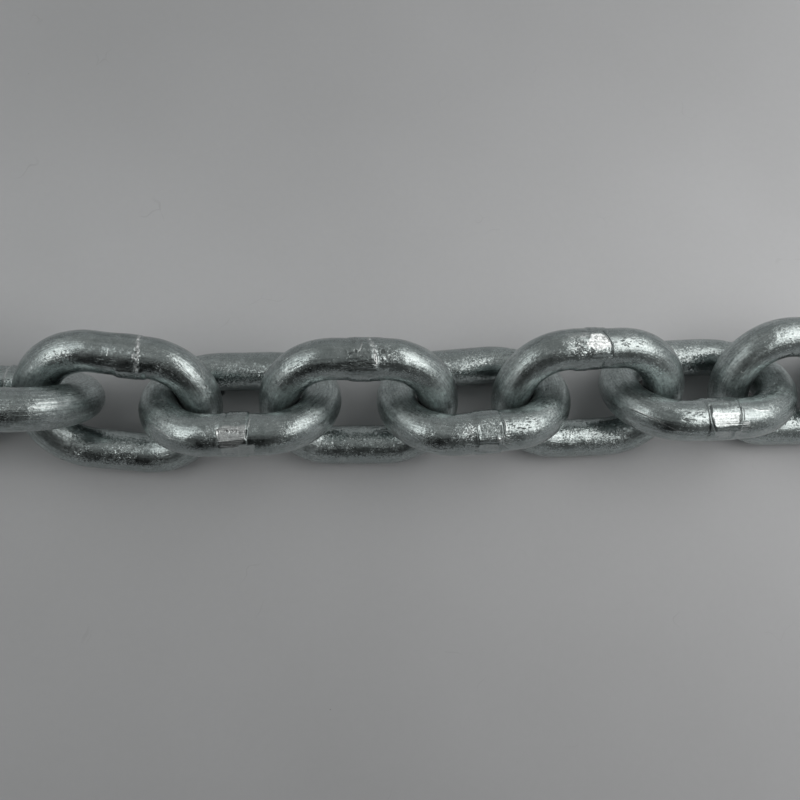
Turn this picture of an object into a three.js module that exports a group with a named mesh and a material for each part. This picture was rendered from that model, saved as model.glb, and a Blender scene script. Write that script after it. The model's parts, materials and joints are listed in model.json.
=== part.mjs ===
// Ten links of hot-dip galvanised short-link anchor chain lying stretched out on the ground.
// Units are millimetres, +Z up. The chain runs along +X, its footprint is centred on the
// origin and every link rests on z = 0. Each link is one closed ring of round bar, butt
// welded in the middle of its high side.
import * as THREE from 'three';

const { degToRad } = THREE.MathUtils;

// ---- Size of a link ----
const BAR_D = 10;
const INSIDE_LENGTH = 30.3;
const LINK_W = 37; // outside width
const CROWN_R = (LINK_W - BAR_D) / 2; // crown radius on the bar's centreline
const HALF_LEG = (INSIDE_LENGTH + BAR_D) / 2 - CROWN_R; // half of the straight side

// ---- Faceting of the round bar ----
const FACETS = 16; // flats around the bar
const FACET_ANGLE = (2 * Math.PI) / FACETS;
const CORNER_R = 5.05; // to the corners, so the flats sit at 4.95
const CROWN_STEPS = 11; // odd, so a flat is centred on each crown tip

// ---- Collar of upset metal at the weld ----
const COLLAR_CORNER_R = 5.32;
const COLLAR_HALF = 1.7; // half length at full height
const COLLAR_TAPER = 0.9; // length over which it runs out at each end

// ---- How the links lie, from the -X end ----
// x, y: centre of the link; lean: angle between its plane and the ground;
// yaw: turn about Z; roll: turn in its own plane. Angles are in degrees.
const LINKS = [
  { x: -129.75, y: 5.00, lean: 45.0, yaw: -10.0, roll: 0.0 },
  { x: -101.75, y: 1.80, lean: 65.0, yaw: -5.0, roll: 0.0 },
  { x: -73.25, y: -0.30, lean: 41.7, yaw: 0.8, roll: -9.8 },
  { x: -43.93, y: -0.15, lean: 40.5, yaw: -0.5, roll: 0.0 },
  { x: -14.87, y: -2.00, lean: 51.0, yaw: -1.5, roll: 0.0 },
  { x: 14.25, y: -0.80, lean: 38.0, yaw: 0.7, roll: -4.7 },
  { x: 43.37, y: -1.10, lean: 46.6, yaw: 0.7, roll: 0.0 },
  { x: 72.53, y: 0.50, lean: 39.3, yaw: 3.4, roll: 3.4 },
  { x: 101.10, y: 0.70, lean: 44.1, yaw: -0.7, roll: 0.0 },
  { x: 130.40, y: 0.60, lean: 45.0, yaw: 0.0, roll: 0.0 },
];

function zinc() {
  return new THREE.MeshStandardMaterial({ color: 0x8d9493, roughness: 0.38, metalness: 1.0 });
}

// Axes of a link: `along` its length, `across` from the low bar to the high bar, and
// `normal` to its plane. highSide is +1 when the high bar is on the +Y side, else -1.
function linkAxes({ lean, yaw, roll }, highSide) {
  const up = new THREE.Vector3(0, 0, 1);
  const leanAngle = degToRad(lean);
  const level = new THREE.Vector3(1, 0, 0).applyAxisAngle(up, degToRad(yaw));
  const slope = new THREE.Vector3(0, highSide * Math.cos(leanAngle), Math.sin(leanAngle))
    .applyAxisAngle(up, degToRad(yaw));

  const rollCos = Math.cos(degToRad(roll));
  const rollSin = Math.sin(degToRad(roll));
  const along = level.clone().multiplyScalar(rollCos).addScaledVector(slope, rollSin);
  const across = slope.clone().multiplyScalar(rollCos).addScaledVector(level, -rollSin);
  return { along, across, normal: new THREE.Vector3().crossVectors(along, across) };
}

// A station is a section of the bar, placed in the link's plane (x along, y across):
// its centre, its outward direction and the radius to its corners.
function highBarStation(x, radius) {
  return { x, y: CROWN_R, outX: 0, outY: 1, radius };
}

function crownStation(centreX, angle) {
  const outX = Math.cos(angle);
  const outY = Math.sin(angle);
  return { x: centreX + CROWN_R * outX, y: CROWN_R * outY, outX, outY, radius: CORNER_R };
}

// Stations along the high bar, round one crown, back along the low bar and round the other.
function linkStations() {
  const collarEnd = COLLAR_HALF + COLLAR_TAPER;
  const stations = [
    highBarStation(-HALF_LEG, CORNER_R),
    highBarStation(-collarEnd, CORNER_R),
    highBarStation(-COLLAR_HALF, COLLAR_CORNER_R),
    highBarStation(COLLAR_HALF, COLLAR_CORNER_R),
    highBarStation(collarEnd, CORNER_R),
  ];
  const crownStep = Math.PI / CROWN_STEPS;
  for (let i = 0; i <= CROWN_STEPS; i += 1) {
    stations.push(crownStation(HALF_LEG, Math.PI / 2 - i * crownStep));
  }
  // The second crown stops one step short, as it closes on the first station.
  for (let i = 0; i < CROWN_STEPS; i += 1) {
    stations.push(crownStation(-HALF_LEG, -Math.PI / 2 - i * crownStep));
  }
  return stations;
}

// Two outward-facing triangles per flat, from each station to the next.
function ringFaces(stationCount) {
  const faces = [];
  for (let i = 0; i < stationCount; i += 1) {
    const here = i * FACETS;
    const next = ((i + 1) % stationCount) * FACETS;
    for (let j = 0; j < FACETS; j += 1) {
      const k = (j + 1) % FACETS;
      faces.push(here + j, here + k, next + k);
      faces.push(here + j, next + k, next + j);
    }
  }
  return faces;
}

function linkMesh(link, linkIndex) {
  const highSide = linkIndex % 2 === 0 ? 1 : -1; // neighbours lean opposite ways
  const { along, across, normal } = linkAxes(link, highSide);
  const centre = new THREE.Vector3(link.x, link.y, 0);

  // Section angles run from the outward direction towards the normal. They start half a
  // facet off straight down, so that a flat faces the ground under the low bar.
  const firstCorner = Math.atan2(-normal.z, across.z) - FACET_ANGLE / 2;

  const stations = linkStations();
  const points = [];
  for (const { x, y, outX, outY, radius } of stations) {
    const barCentre = centre.clone().addScaledVector(along, x).addScaledVector(across, y);
    const outward = along.clone().multiplyScalar(outX).addScaledVector(across, outY);
    for (let j = 0; j < FACETS; j += 1) {
      const angle = firstCorner + j * FACET_ANGLE;
      points.push(barCentre.clone()
        .addScaledVector(outward, radius * Math.cos(angle))
        .addScaledVector(normal, radius * Math.sin(angle)));
    }
  }

  // Rest the link on the ground.
  const lowest = Math.min(...points.map((point) => point.z));
  for (const point of points) point.z -= lowest;

  const geometry = new THREE.BufferGeometry().setFromPoints(points);
  geometry.setIndex(ringFaces(stations.length));
  geometry.computeVertexNormals();
  const mesh = new THREE.Mesh(geometry, zinc());
  mesh.name = `link_${String(linkIndex + 1).padStart(2, '0')}`;
  // The link's own frame, for whoever puts something on it: centre, along and across.
  mesh.userData.frame = {
    c: [link.x, link.y, -lowest],
    e: along.toArray(),
    u: across.toArray(),
  };
  return mesh;
}

// Moves the middle of the chain's footprint to the origin.
function centreFootprint(group) {
  const middle = new THREE.Box3().setFromObject(group).getCenter(new THREE.Vector3());
  for (const { geometry, userData } of group.children) {
    geometry.translate(-middle.x, -middle.y, 0);
    userData.frame.c[0] -= middle.x;
    userData.frame.c[1] -= middle.y;
  }
}

const chain = new THREE.Group();
chain.name = 'anchor_chain';
chain.add(...LINKS.map(linkMesh));
centreFootprint(chain);

export default chain;
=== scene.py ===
"""A length of hot-dip galvanised short-link chain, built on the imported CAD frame.

Ten links lie along X on a table at Z = 0, leaning by turns towards +Y and -Y. The viewer is
on the -Y side. Every link gets one fine skin: a ring of round bar with the weld, its grinding
flats, the zinc lumps and the small dents modelled, and a layered zinc material.
Lengths are in mm up to the point where a mesh, object or lamp is made.
"""
import json
import math

import bpy
import numpy as np
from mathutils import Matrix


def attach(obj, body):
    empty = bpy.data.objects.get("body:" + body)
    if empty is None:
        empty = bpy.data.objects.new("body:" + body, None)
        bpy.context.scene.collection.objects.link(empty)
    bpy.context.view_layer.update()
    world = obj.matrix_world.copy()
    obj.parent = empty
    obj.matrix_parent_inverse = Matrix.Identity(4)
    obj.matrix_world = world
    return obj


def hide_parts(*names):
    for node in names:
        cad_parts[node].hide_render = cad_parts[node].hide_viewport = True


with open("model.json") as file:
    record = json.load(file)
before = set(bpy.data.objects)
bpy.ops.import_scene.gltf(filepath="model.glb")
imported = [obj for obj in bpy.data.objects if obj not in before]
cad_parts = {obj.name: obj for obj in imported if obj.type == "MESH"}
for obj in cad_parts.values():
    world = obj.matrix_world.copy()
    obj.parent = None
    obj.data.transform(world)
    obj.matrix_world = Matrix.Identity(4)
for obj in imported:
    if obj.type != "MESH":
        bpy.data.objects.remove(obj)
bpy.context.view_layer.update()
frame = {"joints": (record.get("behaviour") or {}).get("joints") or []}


MM = 0.001

# ------------------------------------------------------------------ the chain's measures
BAR_R = 5.0
PITCH = 29.45  # inside; the CAD links are 0.85 mm longer inside, which is their running clearance
WIDTH = 36.8
CROWN_R = (WIDTH - 2 * BAR_R) / 2  # of the bar's centreline in the two half-round ends
LEG = (PITCH + 2 * BAR_R) / 2 - CROWN_R  # half a straight bar
CROWN_ARC = math.pi * CROWN_R
LENGTH = 4 * LEG + 2 * CROWN_ARC

# the skin's grid: fine steps within FINE_SPAN of the weld, coarse ones elsewhere
FINE_SPAN = 9.0
FINE_STEP = 0.14
COARSE_STEP = 0.34
ANGLE_COUNT = 160

MASKS = ("weld", "flat", "pit", "crystal", "grime", "calm")


# ------------------------------------------------------------------ computed noise
def lattice(x, y, z, seed):
    """A repeatable value in 0..1 for each whole-number point."""
    mixed = (x * 374761393 + y * 668265263 + z * 2147483647 + seed * 974634777) & 0xFFFFFFFF
    mixed = ((mixed ^ (mixed >> 13)) * 1274126177) & 0xFFFFFFFF
    mixed = ((mixed ^ (mixed >> 16)) * 2246822519) & 0xFFFFFFFF
    return ((mixed ^ (mixed >> 15)) & 0xFFFFFF) / float(0xFFFFFF)


def value_noise(points, seed):
    """Smooth value noise in -1..1 at points (..., 3)."""
    cell = np.floor(points).astype(np.int64)
    part = points - cell
    part = part * part * part * (part * (part * 6 - 15) + 10)
    total = 0
    for corner in np.ndindex(2, 2, 2):
        weights = [part[..., k] if corner[k] else 1 - part[..., k] for k in range(3)]
        value = lattice(*(cell[..., k] + corner[k] for k in range(3)), seed)
        total = total + weights[0] * weights[1] * weights[2] * value
    return total * 2 - 1


def fractal(points, seed, octaves=3, gain=0.5):
    """Value noise summed over octaves, still in -1..1."""
    weight, weights, total = 1.0, 0.0, 0
    for k in range(octaves):
        total = total + weight * value_noise(points * (2.03 ** k) + 17.3 * k, seed + k)
        weights += weight
        weight *= gain
    return total / weights


def smooth(value, low, high):
    part = np.clip((value - low) / (high - low), 0, 1)
    return part * part * (3 - 2 * part)


def plateau(value, start, end, start_soft, end_soft):
    """1 between start and end, with edges start_soft and end_soft wide."""
    rise = smooth(value, start - start_soft / 2, start + start_soft / 2)
    return rise * (1 - smooth(value, end - end_soft / 2, end + end_soft / 2))


def wrap(value, period=2 * math.pi):
    return np.mod(value + period / 2, period) - period / 2


# ------------------------------------------------------------------ where each link lies
def turned_about_z(vector, angle):
    cos, sin = math.cos(angle), math.sin(angle)
    x, y, z = vector
    return np.array([cos * x - sin * y, sin * x + cos * y, z])


class Link:
    """The centreline of one link and its axes: along the chain, to the high bar, and normal."""

    def __init__(self, name, side, lean, yaw, roll, centre):
        self.name = name
        self.centre = np.array(centre)
        lean, yaw, roll = math.radians(lean), math.radians(yaw), math.radians(roll)
        along = turned_about_z((1.0, 0.0, 0.0), yaw)
        high = turned_about_z((0.0, side * math.cos(lean), math.sin(lean)), yaw)
        self.along = along * math.cos(roll) + high * math.sin(roll)
        self.high = high * math.cos(roll) - along * math.sin(roll)
        self.normal = np.cross(self.along, self.high)

    def ring(self, distance):
        """Centreline points and outward directions, by distance from the high bar's middle."""
        distance = np.mod(distance, LENGTH)
        after_first = distance - LEG - CROWN_ARC
        after_second = after_first - 2 * LEG - CROWN_ARC
        angle = (math.pi / 2
                 - np.clip((distance - LEG) / CROWN_R, 0, math.pi)
                 - np.clip((after_first - 2 * LEG) / CROWN_R, 0, math.pi))
        shift = (np.minimum(distance, LEG) - np.clip(after_first, 0, 2 * LEG)
                 + np.maximum(after_second, 0))
        out_x, out_y = np.cos(angle), np.sin(angle)
        x, y = shift + CROWN_R * out_x, CROWN_R * out_y
        points = self.centre + x[:, None] * self.along + y[:, None] * self.high
        return points, out_x[:, None] * self.along + out_y[:, None] * self.high


# name, side of the high bar (1 is +Y), lean above the table, yaw, roll and centre: as in the CAD
LINKS = [
    Link("link_01", 1, 45.0, -10.0, 0.0, (-130.043, 3.064, 14.499)),
    Link("link_02", -1, 65.0, -5.0, 0.0, (-102.043, -0.136, 17.188)),
    Link("link_03", 1, 41.7, 0.8, -9.8, (-73.543, -2.236, 14.617)),
    Link("link_04", -1, 40.5, -0.5, 0.0, (-44.223, -2.086, 13.721)),
    Link("link_05", 1, 51.0, -1.5, 0.0, (-15.163, -3.936, 15.444)),
    Link("link_06", -1, 38.0, 0.7, -4.7, (13.957, -2.736, 13.566)),
    Link("link_07", 1, 46.6, 0.7, 0.0, (43.077, -3.036, 14.762)),
    Link("link_08", -1, 39.3, 3.4, 3.4, (72.237, -1.436, 13.735)),
    Link("link_09", 1, 44.1, -0.7, 0.0, (100.807, -1.236, 14.348)),
    Link("link_10", -1, 45.0, 0.0, 0.0, (130.107, -1.336, 14.499)),
]


def nearest(points, line):
    """Distance from each point to the nearest one of a line, in parts to save memory."""
    return np.concatenate([
        np.min(np.linalg.norm(part[..., None, :] - line, axis=-1), axis=-1)
        for part in np.array_split(points, 6)])


def segment_distance(x, y, start, end):
    """Squared distance from the points x, y to a straight segment."""
    run, rise = end[0] - start[0], end[1] - start[1]
    off_x, off_y = x - start[0], y - start[1]
    part = np.clip((off_x * run + off_y * rise) / (run * run + rise * rise), 0, 1)
    return (off_x - part * run) ** 2 + (off_y - part * rise) ** 2


# ------------------------------------------------------------------ one link's skin
class Skin:
    """Bar radius and masks on the grid of one link, shaped step by step.

    Points of outlines and lines are (mm along the bar from the middle of the high bar,
    degrees of tilt round it). Tilt is 0 where the bar faces straight up, plus towards -Y.
    """

    def __init__(self, link, seed, weld_at=0.0):
        self.link, self.seed = link, seed
        fine = np.arange(-FINE_SPAN, FINE_SPAN, FINE_STEP)
        coarse_count = int((LENGTH - 2 * FINE_SPAN) / COARSE_STEP)
        coarse = np.linspace(FINE_SPAN, LENGTH - FINE_SPAN, coarse_count, endpoint=False)
        self.stations = np.sort(wrap(np.concatenate([fine, coarse]) + weld_at, LENGTH))
        self.angles = np.arange(ANGLE_COUNT) * 2 * math.pi / ANGLE_COUNT
        self.middle, outward = link.ring(self.stations)
        self.along, self.turn = np.meshgrid(self.stations, self.angles, indexing="ij")
        self.from_weld = wrap(self.along - weld_at, LENGTH)
        self.spoke = (outward[:, None, :] * np.cos(self.turn)[..., None]
                      + link.normal * np.sin(self.turn)[..., None])
        self.place = self.middle[:, None, :] + self.spoke * BAR_R + seed * 3.7  # for noise
        # mm round the bar from where it faces straight up, plus towards -Y
        sign = 1.0 if math.sin(self.facing(20) - self.facing(0)) > 0 else -1.0
        self.round = sign * wrap(self.turn - self.facing(0)) * BAR_R
        self.wave_along = fractal(self.place * 1.7, seed + 21, 2)
        self.wave_round = fractal(self.place * 1.7, seed + 22, 2)
        self.radius = np.full(self.along.shape, BAR_R)
        self.masks = {key: np.zeros(self.along.shape) for key in MASKS}
        self.rng = np.random.default_rng(seed)

    def mark(self, key, amount, rows=slice(None)):
        self.masks[key][rows] = np.maximum(self.masks[key][rows], amount)

    def facing(self, tilt):
        """Angle round the bar that faces tilt degrees from straight up towards -Y."""
        tilt = math.radians(tilt)
        way = np.array([0.0, -math.sin(tilt), math.cos(tilt)])
        return math.atan2(float(way @ self.link.normal), float(way @ self.link.high))

    def near(self, tilt, half):
        """1 where the bar faces within half degrees of tilt."""
        away = np.degrees(np.abs(wrap(self.turn - self.facing(tilt))))
        return 1 - smooth(away, half - 6, half + 6)

    def chart(self, points, margin, jag):
        """The grid rows near the points, their wavy flat x and y, and the points, all in mm."""
        reach = [x for x, _ in points]
        rows = np.nonzero((self.stations > min(reach) - margin)
                          & (self.stations < max(reach) + margin))[0]
        x = self.along[rows] + jag * self.wave_along[rows]
        y = self.round[rows] + jag * self.wave_round[rows]
        return rows, x, y, [(at, math.radians(tilt) * BAR_R) for at, tilt in points]

    def outline(self, points, soft=0.14, jag=0.15):
        """Mask of the area inside an outline."""
        rows, x, y, corners = self.chart(points, 1.0 + soft, jag)
        edges = [(corners[i - 1], corner) for i, corner in enumerate(corners)]
        inside = np.zeros(x.shape, bool)
        for (x0, y0), (x1, y1) in edges:
            crossing = x0 + (y - y0) * (x1 - x0) / ((y1 - y0) or 1e-9)
            inside ^= ((y0 > y) != (y1 > y)) & (x < crossing)
        gap = np.sqrt(np.minimum.reduce([segment_distance(x, y, *edge) for edge in edges]))
        mask = np.zeros(self.along.shape)
        mask[rows] = 1 - smooth(np.where(inside, -1.0, 1.0) * gap, -soft, soft)
        return mask

    def line(self, points, width, height, bright=0.0, dark=0.0, jag=0.1, ragged=0.0):
        """A raised or sunk line, with bare metal (bright) or a darker colour (dark) on it."""
        rows, x, y, corners = self.chart(points, 1.0 + 3 * width, jag)
        gap = np.minimum.reduce([segment_distance(x, y, *ends)
                                 for ends in zip(corners[:-1], corners[1:])])
        mask = np.exp(-gap / width ** 2)
        mask = mask * np.clip(1 + ragged * 2.2 * self.wave_round[rows], 0, 2)
        self.radius[rows] += height * mask
        self.mark("flat", np.clip(bright * mask, 0, 1), rows)
        self.mark("pit", np.clip(dark * mask, 0, 1), rows)

    def lines(self, table):
        """Lines from rows of width, height, bright, dark, jag and then the points."""
        for width, height, bright, dark, jag, *points in table:
            self.line(points, width, height, bright, dark, jag)

    def facet(self, points, tilt, distance, pitch=0.0, bright=1.0, soft=0.14, jag=0.15,
              scratch=0.012, crystals=0.0):
        """A ground flat: the outlined area cut by a plane that faces tilt.

        The plane is distance from the bar's axis and rises by pitch degrees along the bar.
        """
        mask = self.outline(points, soft, jag)
        mid = sum(x for x, _ in points) / len(points)
        cos = np.cos(self.turn - self.facing(tilt))
        plane = distance + math.tan(math.radians(pitch)) * (self.along - mid)
        cut = np.where(cos > 0.3, plane / np.maximum(cos, 0.3), 99.0)
        grain = np.stack([self.along * 0.22, self.round * 1.25, self.along * 0 + self.seed], -1)
        scratches = scratch * 2 * fractal(grain, self.seed + 14, 2)
        hit = smooth(self.radius - cut, -0.02, 0.05) * mask
        self.radius = self.radius * (1 - hit) + (cut + scratches) * hit
        self.mark("flat", bright * hit)
        self.mark("calm", hit)
        self.mark("crystal", crystals * mask)

    def crust(self, points, height, bright=0.0, dark=0.0, soft=0.8, scale=1.9, crystals=1.0):
        """A rough, lumpy area."""
        mask = self.outline(points, soft, 0.5)
        self.radius += height * mask * fractal(self.place * scale, self.seed + 33, 4, 0.6)
        self.mark("crystal", crystals * mask)
        self.mark("flat", bright * mask * smooth(self.wave_along, -0.15, 0.25))
        self.mark("pit", dark * mask * smooth(self.wave_round, -0.1, 0.3))

    def dashes(self, count, span, tilts, length=(0.4, 1.4), height=-0.06, dark=0.7, width=0.1):
        """Short marks along the bar scattered over a span of it and a range of tilts."""
        for _ in range(count):
            x, tilt = self.rng.uniform(*span), self.rng.uniform(*tilts)
            half = self.rng.uniform(*length) / 2
            points = [(x - half, tilt), (x + half, tilt + self.rng.uniform(-2, 2))]
            self.line(points, width, height, dark=dark, jag=0.05)

    def wavy_from_weld(self, jag, turn_scale, second, third, salt):
        """Distance from the weld, made to waver round the bar."""
        at = np.stack(np.broadcast_arrays(self.turn * turn_scale, second, third), -1)
        return self.from_weld + jag * fractal(at, self.seed + salt, 3)

    def band(self, start, end, height, soft=(0.5, 0.3), mask=1.0, jag=0.25):
        """A raised collar from start to end, measured from the weld."""
        at = self.wavy_from_weld(jag, 2.2, self.seed, 0.0, 5)
        self.radius += height * (plateau(at, start, end, *soft) * mask)
        self.mark("weld", plateau(at, start - 0.4, end + 0.4, 0.8, 0.8))

    def ridge(self, at, width, height):
        """A bright uneven ridge all round the bar."""
        mask = np.exp(-(((self.wavy_from_weld(0.2, 4.0, at, self.seed, 6) - at) / width) ** 2))
        uneven = 0.65 + 0.7 * fractal(self.place * 2.6, self.seed + 8, 2)
        self.radius += height * mask * uneven
        self.mark("flat", 0.8 * mask)
        self.mark("weld", mask)

    def rough(self, start, end, height, scale):
        """Roughness all round the bar from start to end, measured from the weld."""
        mask = plateau(self.from_weld, start, end, 1.0, 1.0)
        self.radius += height * mask * fractal(self.place * scale, self.seed + 12, 4, 0.6)
        self.mark("weld", mask)

    def coat(self):
        """The waviness of the whole ring, faint marks along the bar, and lumps of zinc."""
        self.radius += (0.075 * fractal(self.place * 0.11, self.seed)
                        + 0.035 * fractal(self.place * 0.45, self.seed + 9))
        drawn = np.stack([self.along * 0.07, np.cos(self.turn) * 6.0,
                          np.sin(self.turn) * 6.0], -1) + self.seed
        self.radius += 0.014 * fractal(drawn, self.seed + 3)
        for _ in range(16):
            at = self.rng.uniform(-LENGTH / 2, LENGTH / 2)
            angle = self.rng.uniform(0, 2 * math.pi)
            size, height = self.rng.uniform(0.35, 1.3), self.rng.uniform(0.03, 0.13)
            across = wrap(self.turn - angle) * BAR_R
            self.radius += height * np.exp(-(((self.along - at) / (size * 1.6)) ** 2
                                             + (across / size) ** 2))

    def wear_crowns(self):
        """Rubs the crowns smooth all round, so nothing on them stands in a neighbour's way."""
        away = np.abs(self.along)
        crown = smooth(away, 9, 13) * (1 - smooth(away, 44, 48))
        self.radius = (self.radius * (1 - crown)
                       + np.minimum(self.radius, BAR_R + 0.03) * crown)

    def seat(self, parent, hinge):
        """Wears the inside of a crown until it clears the link before through its swing."""
        pivot, axis = np.array(hinge["pos_m"]) * 1000, np.array(hinge["axis"])
        line = parent.ring(np.arange(0, LENGTH, 0.4))[0]
        line = line[np.linalg.norm(line - pivot, axis=1) < 11] - pivot
        rows = np.nonzero(np.linalg.norm(self.middle - pivot, axis=1) < 15)[0]
        inside = np.nonzero(np.cos(self.angles) < 0.35)[0]
        grid = np.ix_(rows, inside)
        swung = []
        for degrees in range(-90, 91, 15):
            # the parent seen from this link when it has swung by so many degrees
            angle = math.radians(-degrees)
            swung.append(line * math.cos(angle) + np.cross(axis, line) * math.sin(angle)
                         + np.outer(line @ axis, axis) * (1 - math.cos(angle)))
        for _ in range(2):
            skin = (self.middle[rows][:, None, :]
                    + self.spoke[grid] * self.radius[grid][..., None] - pivot)
            gap = np.minimum.reduce([nearest(skin, pose) for pose in swung])
            self.radius[grid] -= np.clip(BAR_R + 0.06 - gap, 0, 0.6)

    def surface(self):
        return self.middle[:, None, :] + self.spoke * self.radius[..., None]

    def paint_contact_shade_and_dirt(self, neighbours):
        """Painted shade, near black, with some dirt, where this link lies close to its neighbours.
        """
        surface = self.surface()
        for other in neighbours:
            line = other.ring(np.arange(0, LENGTH, 0.5))[0]
            line = line[np.linalg.norm(line - self.link.centre, axis=1) < 26]
            rows = np.nonzero(nearest(self.middle, line) < 13)[0]
            gap = nearest(surface[rows], line) - BAR_R
            self.mark("grime", 1 - smooth(gap, 0.10, 1.15), rows)

    def mesh(self):
        """The closed grid as a mesh, its quads wound to face outwards."""
        count, around = self.along.shape
        corners = (self.surface() * MM).reshape(-1, 3)
        i = np.arange(count)[:, None]
        j = np.arange(around)[None, :]
        i2, j2 = (i + 1) % count, (j + 1) % around
        ring = (i * around + j, i * around + j2, i2 * around + j2, i2 * around + j)
        quads = np.stack(np.broadcast_arrays(*ring), -1).reshape(-1, 4)
        mesh = bpy.data.meshes.new("zinc_" + self.link.name)
        mesh.vertices.add(len(corners))
        mesh.vertices.foreach_set("co", corners.astype(np.float32).ravel())
        mesh.loops.add(quads.size)
        mesh.loops.foreach_set("vertex_index", quads.astype(np.int32).ravel())
        mesh.polygons.add(len(quads))
        mesh.polygons.foreach_set("loop_start", (np.arange(len(quads)) * 4).astype(np.int32))
        mesh.polygons.foreach_set("use_smooth", np.ones(len(quads), bool))
        mesh.update(calc_edges=True)

        # grid coordinates of the quads' corners, without a jump where the grid closes
        next_stations = np.append(self.stations[1:], self.stations[0] + LENGTH)
        next_angles = np.append(self.angles[1:], 2 * math.pi)
        s0, a0 = np.broadcast_arrays(self.stations[:, None], self.angles[None, :])
        s1, a1 = np.broadcast_arrays(next_stations[:, None], next_angles[None, :])
        along = np.stack([s0, s0, s1, s1], -1).reshape(-1)
        turn = np.stack([a0, a1, a1, a0], -1).reshape(-1)
        chart = np.stack([(along + LENGTH / 2) / LENGTH, turn / (2 * math.pi)], -1)
        wire = np.stack([along, BAR_R * np.cos(turn), BAR_R * np.sin(turn)], -1)
        layer = mesh.uv_layers.new(name="wire_uv")
        layer.data.foreach_set("uv", chart.astype(np.float32).ravel())
        layer = mesh.attributes.new("wire", "FLOAT_VECTOR", "CORNER")
        layer.data.foreach_set("vector", wire.astype(np.float32).ravel())
        for key, mask in self.masks.items():
            layer = mesh.attributes.new(key, "FLOAT", "POINT")
            layer.data.foreach_set("value", np.clip(mask, 0, 1).astype(np.float32).ravel())
        mesh.validate()
        return mesh


# ------------------------------------------------------------------ the marks of each link
def ground_weld(skin):
    """Links 1 and 9: a collar with two flats and a dark groove at its +X edge."""
    skin.band(-3.2, 2.8, height=0.22, soft=(0.8, 0.25))
    skin.facet([(-3.0, -16), (2.6, -18), (2.7, 16), (1.4, 42), (-2.4, 40)],
               tilt=13, distance=4.93, pitch=3)
    skin.facet([(-2.5, 42), (1.6, 46), (2.0, 76), (-2.2, 74)],
               tilt=60, distance=4.85, bright=0.35)
    skin.line([(3.0, -22), (3.1, 0), (2.9, 22)], width=0.16, height=-0.24, dark=0.9)
    skin.rough(-3.4, 3.2, height=0.03, scale=1.8)


def link_02(skin):
    """A collar with a ridge at one edge, and two fine lines on the +X crown."""
    skin.band(-2.6, 2.4, height=0.2)
    skin.ridge(2.4, width=0.28, height=0.22)
    skin.rough(-3.0, 3.0, height=0.06, scale=1.6)
    skin.lines([
        (0.10, 0.03, 0.5, 0, 0.1, (14.5, -3), (18.5, 0), (22, 2)),
        (0.10, 0.03, 0.5, 0, 0.1, (13.5, 8), (19.0, 10)),
    ])


def link_03(skin):
    """A smooth swelling that ends in a rough bright spindle across the bar."""
    calm = skin.outline([(-9, -25), (3.6, -25), (3.6, 60), (-9, 60)], soft=1.2, jag=0.4)
    skin.mark("calm", calm)
    skin.band(-1.0, 4.6, height=0.15, soft=(5.0, 0.12), mask=skin.near(10, 95), jag=0.10)
    skin.band(-0.3, 6.4, height=0.38, soft=(1.6, 1.8), mask=skin.near(115, 60), jag=0.2)
    spindle = [
        (4.2, -48), (4.35, -20), (3.95, -2), (3.85, 10), (4.3, 28), (4.75, 52),
        (4.95, 52), (5.3, 26), (5.75, 8), (5.45, -6), (4.9, -22), (4.5, -48),
    ]
    skin.crust(spindle, height=0.16, bright=1.0, dark=0.35, soft=0.22, scale=3.2, crystals=1.4)
    skin.line([(4.4, -50), (4.75, -14), (4.85, 8), (4.9, 30), (4.95, 54)],
              width=0.36, height=0.30, bright=1.0, jag=0.18, ragged=0.7)
    skin.lines([
        (0.10, 0.035, 0.7, 0, 0.12, (-1.45, 4), (-1.6, 24)),
        (0.09, 0.02, 0.4, 0, 0.2, (-2.6, 16), (-2.9, 22), (-3.7, 30), (-3.3, 38)),
    ])
    skin.dashes(9, span=(-4.5, 0.5), tilts=(28, 44), height=-0.03)
    skin.lines([
        (0.07, 0.05, 0.9, 0, 0.05, (13.8, -54), (15.8, -36), (18.3, -14)),
        (0.07, -0.05, 0, 0.6, 0.05, (14.2, -50), (16.2, -33), (18.6, -12)),
    ])


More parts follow.
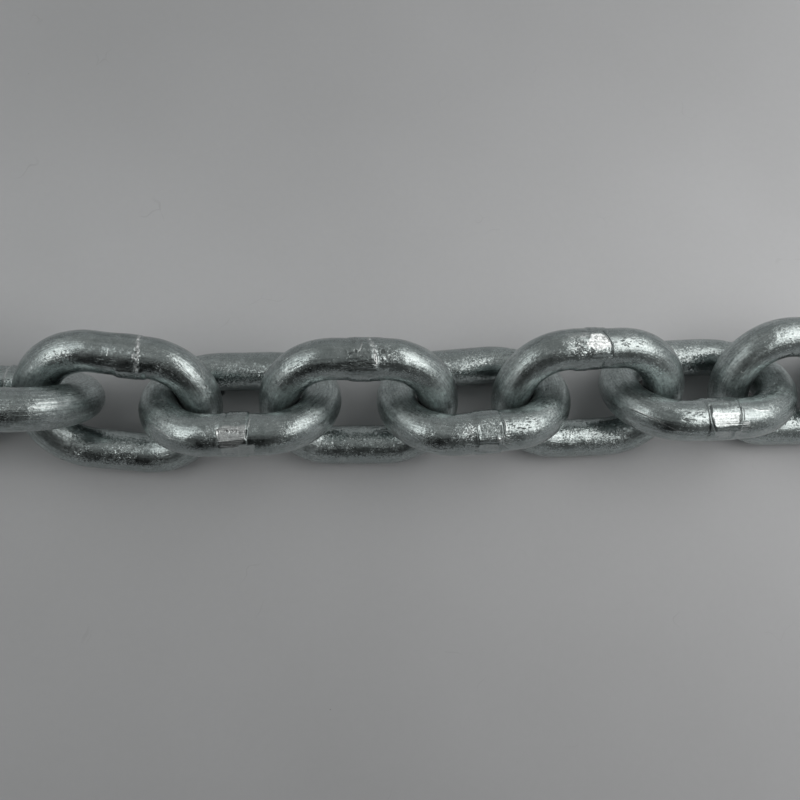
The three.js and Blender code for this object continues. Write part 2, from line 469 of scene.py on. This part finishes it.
def link_04(skin):
    """A collar with a bright flat on top and a duller one below it on the -Y side."""
    skin.band(-3.4, 3.2, height=0.20, soft=(1.2, 0.16))
    skin.band(-1.6, 3.1, height=0.22, soft=(0.8, 0.5), mask=skin.near(-75, 40))
    top = [(-3.7, -4), (-3.3, 18), (-2.9, 40), (-2.6, 47),
           (1.0, 47), (2.3, 30), (3.1, 16), (3.05, -14)]
    skin.facet(top + [(0.2, -8), (-1.5, -12)],
               tilt=9, distance=4.97, pitch=2.0, soft=0.42, jag=0.3)
    # painted bright over the ground area and the curved bar round it: partly the ground metal's
    # own colour, partly a painted sheen where the flat itself does not reach
    bare = skin.outline(top + [(0.2, -10), (-1.5, -14)], soft=0.30, jag=0.3)
    skin.mark("flat", bare)
    skin.mark("calm", bare)
    skin.facet([(1.2, 47), (2.4, 31), (3.2, 19), (4.9, 19), (5.0, 50), (4.5, 80),
                (1.3, 84), (-2.8, 82), (-2.7, 50)],
               tilt=60, distance=4.80, pitch=-3.0, bright=0.32, jag=0.25)
    skin.lines([
        (0.12, 0.05, 0.7, 0, 0.1, (-2.4, 50), (-2.2, 80)),
        (0.14, 0.06, 0.7, 0, 0.1, (1.2, 50), (1.1, 82)),
        (0.13, -0.10, 0, 0.35, 0.1, (3.6, -36), (3.35, -10), (3.25, 4)),
        (0.17, -0.22, 0, 1.0, 0.1, (3.3, 0), (3.2, 14), (3.1, 20)),
    ])
    skin.line([(3.9, -34), (3.65, -8)], width=0.12, height=0.10, bright=0.9, ragged=0.5)
    skin.lines((0.13, -0.12, 0, 1.0, 0.1, (x, 1), (x + 0.25, 3))
               for x in (-3.2, -1.3, -1.0, 0.1, 0.9))
    skin.lines((0.07, -0.03, 0, 0.40, 0.05, (-3.0, tilt), (2.4, tilt + 1))
               for tilt in (22, 26, 31, 37, 43))
    skin.lines([
        (0.08, 0.05, 1.0, 0, 0.05, (-17.5, 19), (-14.8, 18), (-12.9, 26), (-11.5, 31)),
        (0.10, 0.07, 0.9, 0, 0.08, (-21.6, -26), (-21.3, -46), (-20.6, -59)),
        (0.10, -0.07, 0, 0.7, 0.08, (-21.2, -26), (-20.9, -46), (-20.2, -59)),
    ])


def link_05(skin):
    """A rough swelling, left unground, with a thick bright ridge across the bar."""
    skin.band(-2.2, 5.4, height=0.24, soft=(3.2, 3.6), jag=0.5)
    skin.rough(-4.0, 7.0, height=0.07, scale=1.1)
    skin.crust([(-3.6, -14), (2.6, -16), (3.2, 40), (-3.6, 46)],
               height=0.07, dark=0.45, soft=1.0, scale=2.2, crystals=0.15)
    skin.crust([(4.4, -12), (6.9, -10), (7.3, 30), (4.8, 34)],
               height=0.08, dark=1.0, soft=0.7, scale=2.4, crystals=0.25)
    skin.line([(2.3, -40), (2.9, -24), (3.4, -11), (3.6, 7), (3.8, 22), (3.9, 36)],
              width=0.46, height=0.42, bright=1.0, jag=0.25, ragged=0.5)
    skin.lines([
        (0.13, 0.09, 1.0, 0, 0.1, (0.6, -27), (0.3, -14), (-0.1, -3)),
        (0.15, -0.16, 0, 1.0, 0.1, (-0.8, -4), (-1.3, 0), (-2.4, 6)),
        (0.30, -0.24, 0, 1.0, 0.1, (-0.8, -4), (-0.7, -2)),
    ])
    skin.dashes(34, span=(-3.4, 3.2), tilts=(18, 46), length=(0.6, 2.2), height=-0.035,
                dark=0.95, width=0.12)
    skin.band(-2.0, 3.0, height=0.18, soft=(1.5, 1.5), mask=skin.near(115, 40), jag=0.4)


def link_06(skin):
    """A collar with two flats, dark grooves round them and a fan of lines on the +X side."""
    skin.band(-3.5, 2.7, height=0.30, soft=(1.6, 0.24), jag=0.12)
    skin.facet([(-3.2, -22), (2.5, -22), (2.6, 18), (1.3, 42), (-3.0, 37)],
               tilt=9, distance=5.07, pitch=2.0, bright=0.0, soft=0.40, scratch=0.006)
    skin.facet([(-3.1, 43), (1.3, 47), (1.9, 78), (-2.8, 72)],
               tilt=62, distance=5.02, bright=0.25)
    skin.lines([
        (0.15, -0.05, 0, 0.2, 0.1, (-2.6, -57), (-3.3, -34), (-3.6, -6)),
        (0.13, -0.06, 0, 0.8, 0.1, (-3.6, -4), (-3.4, 29), (-3.2, 40)),
        (0.17, -0.08, 0, 0.25, 0.1, (2.75, -40), (2.95, -14)),
        (0.17, -0.14, 0, 1.0, 0.1, (2.98, -12), (2.8, 22)),
        (0.10, 0.04, 0.8, 0, 0.1, (3.5, -14), (3.45, 14)),
        (0.13, -0.12, 0, 0.9, 0.08, (-3.0, 39), (-1.0, 41), (1.3, 44)),
    ])
    for x, tilt in ((4.3, 17), (4.7, 26), (4.9, 38), (4.7, 52), (3.9, 66)):  # the fan's tips
        skin.lines([
            (0.10, 0.07, 0.8, 0, 0.08, (1.6, 33 + (tilt - 38) * 0.15), (x, tilt)),
            (0.08, -0.06, 0, 0.6, 0.08, (2.2, 34 + (tilt - 38) * 0.4), (x + 0.2, tilt + 5)),
        ])
    skin.line([(1.3, 31), (1.7, 35)], width=0.34, height=0.16, bright=1.0, jag=0.15)
    skin.crust([(-4.2, 46), (-3.4, 56), (-3.5, 76), (-4.3, 62)],
               height=0.12, bright=0.8, dark=0.3, soft=0.18, scale=2.4)
    skin.lines((0.07, -0.04, 0, 0.4, 0.05, (-2.9, tilt), (2.0, tilt + 1))
               for tilt in (10, 15, 21, 27, 33))
    skin.crust([(-6.5, -20), (-4.0, -22), (-4.0, 26), (-6.5, 24)],
               height=0.06, bright=0.35, dark=0.2, scale=2.2)
    skin.dashes(16, span=(4.0, 11.0), tilts=(-18, 16), length=(0.3, 1.0), dark=0.9)
    skin.lines([
        (0.08, 0.05, 0.9, 0, 0.05, (-19.2, -30), (-18.4, -50), (-18.0, -62)),
        (0.09, -0.05, 0, 0.7, 0.05, (-16.7, 28), (-15.4, 34), (-14.2, 40)),
    ])


def link_07(skin):
    """A bright flat between a dark groove on its +X side and a crust on its -X side."""
    skin.band(-2.4, 2.2, height=0.22, soft=(0.9, 0.3), mask=skin.near(-40, 75))
    skin.band(-6.0, 0.4, height=0.12, soft=(2.2, 0.8), jag=0.5)
    skin.crust([(-6.9, -6), (-4.3, -8), (-4.2, 32), (-6.9, 30)],
               height=0.20, bright=0.30, dark=0.7, soft=0.5, scale=2.2)
    skin.crust([(-4.4, -4), (-3.6, -2), (-3.5, 36), (-4.3, 34)],
               height=0.05, dark=0.9, soft=0.25, scale=2.2)
    skin.facet([(-2.0, -38), (0.9, -42), (1.0, -22), (2.1, 0), (2.15, 29), (1.7, 32),
                (-3.4, 35), (-3.9, 4), (-2.6, -12)],
               tilt=-4, distance=4.93, bright=0.85, soft=0.12, jag=0.2,
               scratch=0.02, crystals=0.30)
    skin.line([(0.9, -40), (1.2, -30), (1.8, -14), (2.4, 6), (2.45, 36)],
              width=0.15, height=-0.24, dark=1.0, jag=0.06)
    for tilt in (-33, -29, -24, -19):
        skin.line([(-6.2 + 0.05 * tilt, tilt), (-2.4, tilt + 1)],
                  width=0.10, height=0.05, bright=0.9, ragged=0.6)
    skin.dashes(12, span=(3.0, 9.5), tilts=(-14, 14), length=(0.3, 1.0), dark=0.9)
    skin.band(-5.6, -2.6, height=0.16, soft=(1.0, 1.0), mask=skin.near(115, 40), jag=0.3)


def link_08(skin):
    """A collar with one flat on top, two on the -Y side, and a dark groove at each edge."""
    skin.band(-3.9, 3.9, height=0.20, soft=(0.6, 0.4))
    skin.band(-4.2, 4.4, height=0.16, soft=(1.2, 1.2), mask=skin.near(-75, 40))
    skin.facet([(-3.0, -18), (3.6, -20), (3.4, 20), (1.6, 44), (-1.7, 43), (-2.5, 30),
                (-3.2, 2)],
               tilt=13, distance=4.95, bright=0.48, jag=0.12, scratch=0.02, crystals=0.12)
    skin.facet([(-2.4, 47), (1.9, 49), (2.3, 78), (-1.2, 80)],
               tilt=62, distance=4.88, bright=0.28)
    skin.facet([(2.6, 46), (5.4, 50), (6.2, 84), (3.0, 82)],
               tilt=62, distance=4.98, bright=0.28)
    skin.lines([
        (0.21, -0.16, 0, 1.0, 0.08, (-3.1, -28), (-3.5, -6), (-3.4, 12), (-2.9, 30), (-2.2, 45)),
        (0.15, -0.14, 0, 1.0, 0.06, (4.0, -24), (3.9, 0), (3.8, 21)),
        (0.10, -0.05, 0, 0.5, 0.08, (4.6, -20), (4.4, 18)),
    ])
    for tilt in (20, 25, 31, 37, 43):
        skin.lines([
            (0.07, -0.05, 0, 0.5, 0.05, (-2.6 + 0.02 * tilt, tilt), (5.4, tilt + 1)),
            (0.08, 0.05, 0.9, 0, 0.05, (3.7, tilt + 3), (5.8, tilt + 4)),
        ])
    skin.line([(6.8, -16), (8.2, -6), (10.4, -2)], width=0.09, height=0.06, bright=1.0, jag=0.06)
    skin.dashes(14, span=(-9.5, -4.0), tilts=(-14, 18), length=(0.3, 1.0), dark=0.9)
    skin.lines([
        (0.08, 0.06, 1.0, 0, 0.05, (-19.3, 21), (-16.9, 19), (-13.9, 24), (-11.5, 35),
         (-9.9, 44), (-7.6, 48)),
        (0.08, -0.05, 0, 0.7, 0.05, (-18.9, 25), (-16.5, 23), (-13.5, 28), (-11.1, 39)),
    ])


def link_10(skin):
    """A low collar with a ragged bright ridge and a crust over it."""
    skin.band(-2.2, 3.0, height=0.16, soft=(2.0, 0.4))
    skin.line([(2.6, -42), (2.9, -10), (3.0, 20), (3.2, 44)],
              width=0.32, height=0.22, bright=1.0, jag=0.12, ragged=0.6)
    skin.crust([(-3.0, -20), (5.0, -20), (5.5, 40), (-2.0, 44)],
               height=0.10, bright=0.2, dark=0.5)
    skin.rough(-3.0, 3.5, height=0.04, scale=1.5)


# in the order of LINKS
SHAPES = (ground_weld, link_02, link_03, link_04, link_05,
          link_06, link_07, link_08, ground_weld, link_10)


# ------------------------------------------------------------------ shader trees
def rgba(colour):
    return (*colour, 1) if isinstance(colour, tuple) else colour


class Net:
    """A short way to write a node tree. Any value may be a number or a socket."""

    def __init__(self, owner):
        owner.use_nodes = True
        self.tree = owner.node_tree
        self.tree.nodes.clear()

    def add(self, kind, inputs=None, **settings):
        node = self.tree.nodes.new("ShaderNode" + kind)
        for key, value in settings.items():
            setattr(node, key, value)
        for key, value in (inputs or {}).items():
            if hasattr(value, "is_output"):
                self.tree.links.new(value, node.inputs[key])
            else:
                node.inputs[key].default_value = value
        return node

    def math(self, operation, first, second=0.0, clamp=False):
        return self.add("Math", {0: first, 1: second, 2: 0.0},
                        operation=operation, use_clamp=clamp).outputs[0]

    def times(self, product, *factors):
        for factor in factors:
            product = self.math("MULTIPLY", product, factor)
        return product

    def plus(self, total, *terms):
        for term in terms:
            total = self.math("ADD", total, term)
        return total

    def weighted(self, *pairs):
        """Each value times its weight, as a list."""
        return [self.times(value, weight) for value, weight in pairs]

    def minus(self, first, second):
        return self.math("SUBTRACT", first, second)

    def inverse(self, value):
        return self.minus(1.0, value)

    def at_least(self, value, floor):
        return self.math("MAXIMUM", value, floor)

    def at_most(self, value, top):
        return self.math("MINIMUM", value, top)

    def gauss(self, value, centre, width):
        off = self.math("DIVIDE", self.minus(value, centre), width)
        return self.math("EXPONENT", self.times(off, off, -1.0))

    def range(self, value, start, end, low=0.0, high=1.0, kind="LINEAR"):
        """low at start to high at end, and level beyond them."""
        return self.add("MapRange", {0: value, 1: start, 2: end, 3: low, 4: high},
                        clamp=True, interpolation_type=kind).outputs[0]

    def step(self, value, start, end):
        return self.range(value, start, end, kind="SMOOTHSTEP")

    def vector(self, operation, *inputs):
        return self.add("VectorMath", dict(enumerate(inputs)), operation=operation).outputs[0]

    def scaled(self, vector, factor):
        return self.add("VectorMath", {0: vector, "Scale": factor}, operation="SCALE").outputs[0]

    def split(self, vector):
        return self.add("SeparateXYZ", {"Vector": vector}).outputs

    def millimetres(self):
        place = self.add("TexCoord").outputs["Object"]
        return self.vector("MULTIPLY", place, (1000, 1000, 1000))

    def noise(self, vector, scale, detail=2.0, rough=0.5, output="Fac"):
        return self.add("TexNoise", {"Vector": vector, "Scale": scale, "Detail": detail,
                                     "Roughness": rough}).outputs[output]

    def cells(self, vector, scale, feature="F1"):
        return self.add("TexVoronoi", {"Vector": vector, "Scale": scale}, feature=feature).outputs

    def ramp(self, factor, *stops):
        node = self.add("ValToRGB", {0: factor})
        elements = node.color_ramp.elements
        while len(elements) < len(stops):
            elements.new(0.5)
        for element, (position, colour) in zip(elements, stops):
            element.position = position
            element.color = rgba(colour)
        return node.outputs["Color"]

    def mix(self, factor, first, second):
        return self.add("Mix", {0: factor, 6: rgba(first), 7: rgba(second)},
                        data_type="RGBA").outputs[2]

    def bump(self, height, depth, strength=1.0, normal=None):
        """Bump of depth mm, on top of another normal if there is one."""
        inputs = {"Height": height, "Distance": depth * MM, "Strength": strength}
        if normal is not None:
            inputs["Normal"] = normal
        return self.add("Bump", inputs).outputs["Normal"]

    def finish(self, kind, inputs, output="OutputMaterial"):
        self.add(output, {"Surface": self.add(kind, inputs).outputs[0]})


def zinc_material(name, seed, drawn):
    """Zinc, smooth here and crystalline there; drawn is the strength of lines along the bar."""
    material = bpy.data.materials.new(name)
    net = Net(material)
    place = net.vector("ADD", net.millimetres(), (seed * 13.7, seed * 5.1, seed * 9.3))
    along = net.add("Attribute", attribute_name="wire").outputs["Vector"]
    wire = net.vector("ADD", along, (seed * 31.0, seed * 7.0, 0.0))
    weld, flat, pit, crystal, grime, calm = (
        net.add("Attribute", attribute_name=key).outputs["Fac"] for key in MASKS)
    away = net.math("ABSOLUTE", net.split(along)[0])  # mm from the middle of the high bar
    crown = net.times(net.range(away, 8, 16), net.range(away, 50, 42))

    def wire_noise(lengthwise, across, detail, rough):
        """Noise with its own scales along the bar and across it."""
        stretched = net.vector("MULTIPLY", wire, (lengthwise, across, across))
        return net.noise(stretched, 1.0, detail, rough)

    cloud = net.noise(place, scale=0.16, detail=3, rough=0.55)  # patches of 5 to 10 mm
    patch = net.noise(place, scale=0.55, detail=4, rough=0.6)  # 2 mm
    grain = net.noise(place, scale=2.3, detail=3, rough=0.6)  # 0.4 mm
    streak = wire_noise(lengthwise=0.10, across=1.5, detail=4, rough=0.65)
    hair = wire_noise(lengthwise=0.12, across=2.6, detail=3, rough=0.6)
    warp = net.vector("MULTIPLY", net.noise(place, scale=1.1, output="Color"), (1.0, 1.0, 1.0))
    small_cells = net.cells(net.vector("ADD", place, warp), scale=3.1)["Color"]
    large_cells = net.cells(net.vector("ADD", place, warp), scale=1.15)["Color"]
    bent = net.vector("ADD", place, net.vector("MULTIPLY", warp, (1.8, 1.8, 1.8)))
    spangle = net.add("SeparateColor", {"Color": net.cells(bent, scale=0.42)["Color"]}).outputs[0]

    # where the coat froze rough, and where smooth
    rough_zone = net.range(net.plus(*net.weighted((cloud, 0.7), (patch, 0.45))), 0.46, 0.68)
    brushed = net.inverse(net.at_least(*net.weighted((flat, 0.85), (calm, 0.88))))
    low_bar = net.range(away, 36, 45, 0.72, 1.55)  # the bars that lie on the table are rougher
    low_bar = net.times(low_bar, net.inverse(net.times(crown, 0.45)))
    rough_zone = net.math("MULTIPLY", rough_zone, low_bar, clamp=True)
    rough_zone = net.at_least(net.times(rough_zone, brushed), crystal)

    # pits: dark specks, longer along the bar
    dots = wire_noise(lengthwise=1.15, across=2.7, detail=2, rough=0.6)
    specks = net.times(net.range(dots, 0.355, 0.285), net.range(rough_zone, 0.0, 1.0, 0.22, 1.0))
    big = net.range(wire_noise(lengthwise=0.6, across=1.2, detail=2, rough=0.5), 0.27, 0.22)
    specks = net.times(net.at_least(specks, net.times(big, 0.8)), brushed)
    dark = net.math("MAXIMUM", specks, pit, clamp=True)

    # colour: slow changes of tone, then a mottle of half a millimetre and scuffs along the bar
    tone = net.plus(*net.weighted((cloud, 0.36), (patch, 0.26), (streak, 0.28), (spangle, 0.10)))
    base = net.ramp(tone,
                    (0.36, (0.325, 0.366, 0.363)),
                    (0.50, (0.400, 0.446, 0.442)),
                    (0.66, (0.500, 0.548, 0.543)))
    fine = net.plus(net.times(net.noise(place, scale=1.7, detail=3, rough=0.65), 1.05),
                    wire_noise(lengthwise=0.35, across=2.4, detail=3, rough=0.6))
    fine = net.times(net.minus(fine, 1.025), net.plus(0.45, net.times(crown, 0.80)))
    base = net.scaled(base, net.plus(fine, 1.0))
    blotches = net.range(net.noise(place, scale=1.1, detail=4, rough=0.65), 0.52, 0.66)
    layers = (  # mask, strength, colour
        (flat, 0.85, (0.80, 0.825, 0.82)),
        (dark, 0.80, (0.045, 0.050, 0.050)),
        (net.times(weld, blotches), 0.40, (0.13, 0.135, 0.135)),
        # painted shade: nearly black where the links lie close together, with some dirt
        (net.math("POWER", grime, 1.6), 0.90, (0.020, 0.023, 0.023)),
    )
    for mask, strength, colour in layers:
        base = net.mix(net.times(mask, strength), base, colour)

    rubbed = net.times(net.range(away, 13, 21), net.range(away, 47, 38))
    roughness = net.plus(0.135, *net.weighted(
        (rough_zone, 0.05), (net.range(patch, 0.3, 0.7), 0.06), (rubbed, 0.17),
        (flat, 0.07), (dark, 0.30)))
    roughness = net.math("ADD", roughness, net.times(grime, 0.35), clamp=True)

    lines = net.math("MAXIMUM", net.times(flat, 0.8),
                     net.plus(drawn * 0.55, net.times(crown, drawn)), clamp=True)
    reliefs = (  # height, depth in mm, strength
        (net.noise(place, scale=0.30), 0.07, 1.0),  # orange peel, 3 mm
        (patch, 0.018, 1.0),
        (grain, 0.075, net.range(rough_zone, 0, 1, 0.30, 1.0)),
        (streak, 0.05, 0.8),
        (hair, 0.12, lines),
        (net.inverse(dark), 0.06, 1.0),
    )
    normal = None
    for height, depth, strength in reliefs:
        normal = net.bump(height, depth, strength, normal)

    # zinc crystals: every cell leans its own way, more so where the coat is rough
    small_lean = net.plus(net.range(rough_zone, 0, 1, 0.060, 0.36), net.times(crystal, 0.22))
    large_lean = net.range(rough_zone, 0, 1, 0.02, 0.08)
    for cells, lean in ((small_cells, small_lean), (large_cells, large_lean)):
        way = net.vector("SUBTRACT", cells, (0.5, 0.5, 0.5))
        normal = net.vector("ADD", normal, net.scaled(way, lean))
    normal = net.vector("NORMALIZE", normal)

    net.finish("BsdfPrincipled", {"Base Color": base, "Roughness": roughness,
                                  "Metallic": 1.0, "Normal": normal})
    return material


# painted shadows under the crossings: near-black spots on the table where it shows through the
# gaps between links: x, y, radius
GAP_SHADOWS = [(-51.95, 3.85, 1.0), (-30.8, 1.5, 0.9), (0.82, 0.55, 1.1), (63.85, 3.6, 1.4),
          (94.8, -0.45, 1.3)]


def table_material():
    material = bpy.data.materials.new("pale_table")
    net = Net(material)
    place = net.millimetres()
    soft = net.noise(place, scale=0.012, detail=3)
    grain = net.noise(place, scale=0.5, detail=4, rough=0.6)
    base = net.ramp(net.plus(*net.weighted((soft, 0.8), (grain, 0.2))),
                    (0.35, (0.535, 0.540, 0.550)),
                    (0.65, (0.575, 0.580, 0.592)))

    # dust: a dot in about half of the cells, of its own size and strength
    spots = net.cells(place, scale=0.085)
    keep, size, strength = net.add("SeparateColor", {"Color": spots["Color"]}).outputs[:3]
    dust = net.times(net.math("LESS_THAN", spots["Distance"], net.times(size, 0.030)),
                     net.math("GREATER_THAN", keep, 0.45))
    strength = net.range(strength, 0, 1, 0.15, 0.6)
    base = net.mix(net.times(dust, strength), base, (0.16, 0.155, 0.15))

    # threads: stretches of the warped edges between large cells
    warp = net.noise(place, scale=0.11, detail=1.0, output="Color")
    bent = net.vector("ADD", place, net.vector("MULTIPLY", warp, (14, 14, 0)))
    edges = net.cells(bent, scale=0.045, feature="DISTANCE_TO_EDGE")["Distance"]
    thread = net.times(net.math("LESS_THAN", edges, 0.0045),
                       net.range(net.noise(place, scale=0.06, detail=1), 0.64, 0.70))
    base = net.mix(net.times(thread, 0.14), base, (0.25, 0.25, 0.25))

    # painted light: a broad lighter strip towards +Y and the table lighter towards +X; painted
    # shadow: a faint grey strip all along under the chain, and near-black spots under the
    # crossings
    x, y, _ = net.split(place)
    # painted shadow: a faint grey strip along under the chain
    band = net.times(net.range(net.math("ABSOLUTE", net.plus(y, 1.0)), 17, 5),
                     net.range(net.math("ABSOLUTE", x), 158, 140))
    # painted light: a broad pool of light centred 25 mm towards +Y, and the table lighter towards
    # +X
    painted_light_pool = net.gauss(y, centre=25.0, width=55.0)
    painted_light_ramp = net.plus(*net.weighted((painted_light_pool, 0.16), (net.range(x, -200, 200, -0.06, 0.06), 1.0)), 0.94)
    base = net.mix(net.times(band, 0.30), net.scaled(base, painted_light_ramp), (0.22, 0.24, 0.24))
    # painted shadows: near-black spots where the table shows through the gaps under the crossings
    for shadow_x, shadow_y, radius in GAP_SHADOWS:
        gap = net.add("VectorMath", {0: place, 1: (shadow_x, shadow_y, 0)},
                      operation="DISTANCE").outputs["Value"]
        mask = net.range(gap, radius * 1.25, radius * 0.75, 0.0, 0.9)
        base = net.mix(mask, base, (0.035, 0.037, 0.037))
    net.finish("BsdfPrincipled", {"Base Color": base, "Roughness": 0.62,
                                  "Normal": net.bump(grain, depth=0.03, strength=0.5)})
    return material


# ------------------------------------------------------------------ build
HINGES = {joint["child"]: joint for joint in frame["joints"]}


def build_link(index, link, shape):
    name = link.name
    on_low_bar = name == "link_02"  # the only weld that is on the low bar
    skin = Skin(link, (index + 1) * 101 + 7, weld_at=LENGTH / 2 if on_low_bar else 0.0)
    skin.coat()
    shape(skin)
    skin.wear_crowns()
    if name in HINGES:
        skin.seat(LINKS[index - 1], HINGES[name])
    skin.paint_contact_shade_and_dirt([LINKS[k] for k in (index - 1, index + 1) if 0 <= k < len(LINKS)])
    ob = bpy.data.objects.new("skin_" + name, skin.mesh())
    bpy.context.scene.collection.objects.link(ob)
    ob.data.materials.append(
        zinc_material("zinc_" + name, index + 1, drawn=1.0 if on_low_bar else 0.3))
    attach(ob, name)
    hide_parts(name)


for index, (link, shape) in enumerate(zip(LINKS, SHAPES)):
    build_link(index, link, shape)

bpy.ops.mesh.primitive_plane_add(size=3.0, location=(0, 0, -0.00005))
table = bpy.context.object
table.name = "table"
table.data.materials.append(table_material())

# ------------------------------------------------------------------ light
CEILING_GAIN = 2.35  # scales all the ceiling's levels
# A dark upright shape on the -Y side, for ceiling and world alike: x over y where it stands,
# its half-width in the same measure, and how much light it takes.
FIGURE_AT, FIGURE_WIDTH, FIGURE_DEPTH = 0.40, 0.30, 0.92


def ceiling_material():
    """Light on the underside only: bright towards +X, less so towards -X, dim towards -Y."""
    material = bpy.data.materials.new("soft_ceiling")
    net = Net(material)
    x, y, _ = net.split(net.millimetres())
    y = net.times(y, -1.0)  # the card is turned over about X
    dim = net.plus(0.032, *net.weighted(
        (net.step(y, -230, 10), 0.096), (net.step(x, 150, 400), 0.06),
        (net.step(x, -220, -400), 0.10)))
    # the +X panel fades from y = -20 both ways, and beyond x = 230
    shifted = net.plus(y, 20)
    fade = net.times(net.at_least(net.minus(x, 230), 0.0), -1 / 170)
    right = net.times(0.86, net.step(x, 82, 128),
                      net.gauss(net.at_least(shifted, 0.0), 0, 230),
                      net.gauss(net.at_most(shifted, 0.0), 0, 125),
                      net.math("EXPONENT", fade))
    # the -X panel, its inner edge slanting on the -Y side
    slant = net.minus(x, net.times(net.at_most(y, 0.0), 1.0))
    left = net.times(0.40, net.inverse(net.step(slant, -155, -115)),
                     net.gauss(net.at_least(y, 0.0), 0, 150),
                     net.gauss(net.at_most(y, 0.0), 0, 150),
                     net.plus(0.3, net.times(net.step(x, -380, -270), 0.7)))
    # a small hot patch towards -X and -Y
    hot = net.times(1.05, net.gauss(net.minus(x, net.times(y, 0.45)), centre=-232, width=38),
                    net.gauss(y, centre=-95, width=62))
    ratio = net.math("DIVIDE", x, net.at_most(y, -1.0))
    figure = net.times(net.gauss(ratio, FIGURE_AT, FIGURE_WIDTH), net.step(y, -130, -250))
    level = net.times(net.plus(dim, right, left, hot), CEILING_GAIN,
                      net.inverse(net.times(figure, FIGURE_DEPTH)))
    warmth = net.math("ADD", right, hot, clamp=True)
    back = net.add("NewGeometry").outputs["Backfacing"]
    net.finish("Emission", {"Color": net.mix(warmth, (0.985, 1.0, 0.99), (1.03, 1.0, 0.985)),
                            "Strength": net.times(level, net.inverse(back))})
    return material


bpy.ops.mesh.primitive_plane_add(size=1.1, location=(0, 0, 0.27))
ceiling = bpy.context.object
ceiling.name = "soft_ceiling"
ceiling.visible_camera = False
ceiling.rotation_euler = (math.pi, 0, 0)  # shine downwards
ceiling.data.materials.append(ceiling_material())


def build_world():
    """A grey room, lighter towards +X, darker behind the viewer and at the upright shape."""
    world = bpy.data.worlds.new("room")
    bpy.context.scene.world = world
    net = Net(world)
    x, y, z = net.split(net.add("TexCoord").outputs["Generated"])
    viewer = net.times(net.step(y, -0.25, -0.75), net.step(z, 0.02, 0.25))
    level = net.plus(0.30, net.times(net.step(x, -0.6, 0.8), 0.12))
    level = net.times(level, net.inverse(net.times(viewer, 0.66)))
    ratio = net.math("DIVIDE", x, net.at_most(y, -0.001))
    figure = net.times(net.gauss(ratio, FIGURE_AT, FIGURE_WIDTH),
                       net.step(y, -0.15, -0.45), net.step(z, -0.04, 0.08))
    level = net.times(level, net.inverse(net.times(figure, FIGURE_DEPTH)))
    net.finish("Background", {"Color": (0.975, 0.995, 1.0, 1), "Strength": level},
               output="OutputWorld")


build_world()

# ------------------------------------------------------------------ camera
scene = bpy.context.scene
lens = bpy.data.cameras.new("camera")
lens.sensor_width = 36.0
lens.lens = 32.211
lens.clip_start = 0.01
lens.clip_end = 20
camera = bpy.data.objects.new("camera", lens)
scene.collection.objects.link(camera)
camera.location = (-0.01683, -0.04496, 0.18903)
camera.rotation_euler = [math.radians(angle) for angle in (13.627, -3.358, -2.343)]
scene.camera = camera
scene.view_settings.view_transform = "Standard"
scene.view_settings.look = "None"
scene.view_settings.exposure = 0.0
